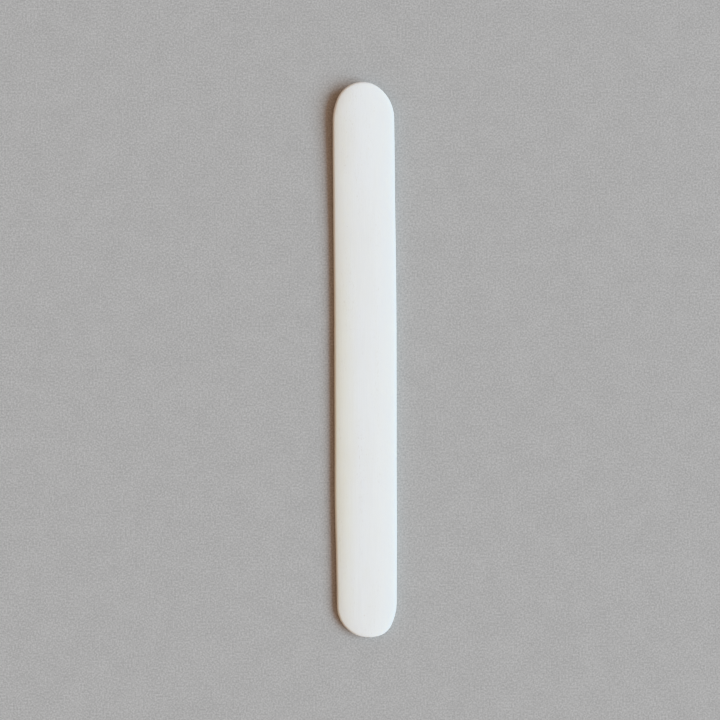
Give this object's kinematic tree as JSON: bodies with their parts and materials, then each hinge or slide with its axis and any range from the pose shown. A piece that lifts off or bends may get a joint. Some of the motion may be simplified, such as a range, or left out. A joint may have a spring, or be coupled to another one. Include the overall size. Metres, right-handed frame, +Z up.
{
  "type": "bone folder",
  "caption": "Flat lath of polished bone with rounded ends, a crowned upper face and softened edges, for creasing and smoothing paper.",
  "frame": {"origin": "middle of the footprint, on the surface that the folder lies on", "axes": "+Y along the blade towards the raised end, +X across the blade, +Z up out of the crowned upper face"},
  "size_m": [0.0202, 0.18, 0.0046],
  "materials": {
    "bone": "satin"
  },
  "bodies": {
    "root": {"bone_blade": "bone"}
  },
  "joints": []
}
